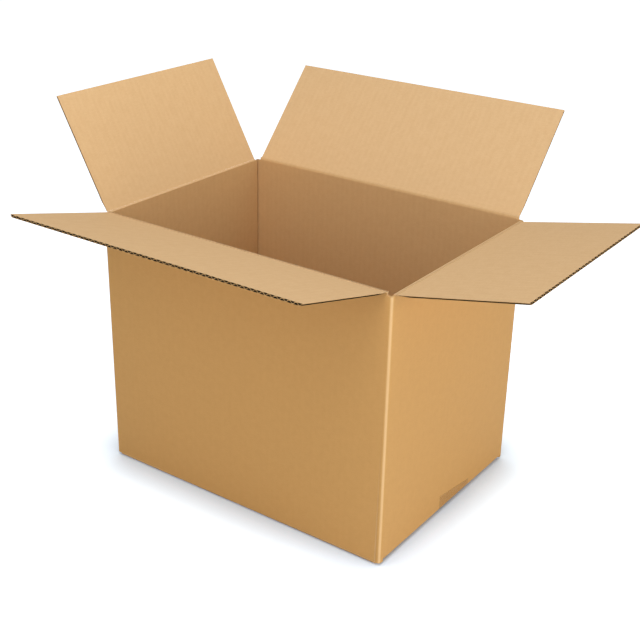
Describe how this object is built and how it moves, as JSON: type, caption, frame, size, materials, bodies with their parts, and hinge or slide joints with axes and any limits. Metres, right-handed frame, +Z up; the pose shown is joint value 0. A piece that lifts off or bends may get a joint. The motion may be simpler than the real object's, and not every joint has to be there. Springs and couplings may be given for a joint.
{
  "type": "open cardboard box",
  "caption": "Open regular slotted carton of corrugated board, its top flaps folded outwards on creases and its bottom closed with clear tape.",
  "frame": {"origin": "on the floor under the middle of the four walls, on the underside of the bottom tape", "axes": "+Z up; X along the long panels with the right flap at +X; the front long panel faces -Y"},
  "size_m": [0.6323, 0.5467, 0.4624],
  "materials": {
    "kraft_board": "matte",
    "clear_tape": "satin"
  },
  "bodies": {
    "carton": {"carton_body": "kraft_board", "bottom_tape": "clear_tape"},
    "front_flap": {"front_flap": "kraft_board"},
    "back_flap": {"back_flap": "kraft_board"},
    "left_flap": {"left_flap": "kraft_board"},
    "right_flap": {"right_flap": "kraft_board"}
  },
  "joints": [
    {"name": "front_flap_fold", "type": "hinge", "parent": "carton", "child": "front_flap", "pos_m": [0, -0.1494, 0.336], "axis": [1, 0, 0], "range_deg": [-165.6, 74.4]},
    {"name": "back_flap_fold", "type": "hinge", "parent": "carton", "child": "back_flap", "pos_m": [0, 0.1494, 0.336], "axis": [-1, 0, 0], "range_deg": [-132, 108]},
    {"name": "right_flap_fold", "type": "hinge", "parent": "carton", "child": "right_flap", "pos_m": [0.2047, 0, 0.3324], "axis": [0, 1, 0], "range_deg": [-168.2, 71.8]},
    {"name": "left_flap_fold", "type": "hinge", "parent": "carton", "child": "left_flap", "pos_m": [-0.2047, 0, 0.3324], "axis": [0, -1, 0], "range_deg": [-119.3, 120.7]}
  ]
}
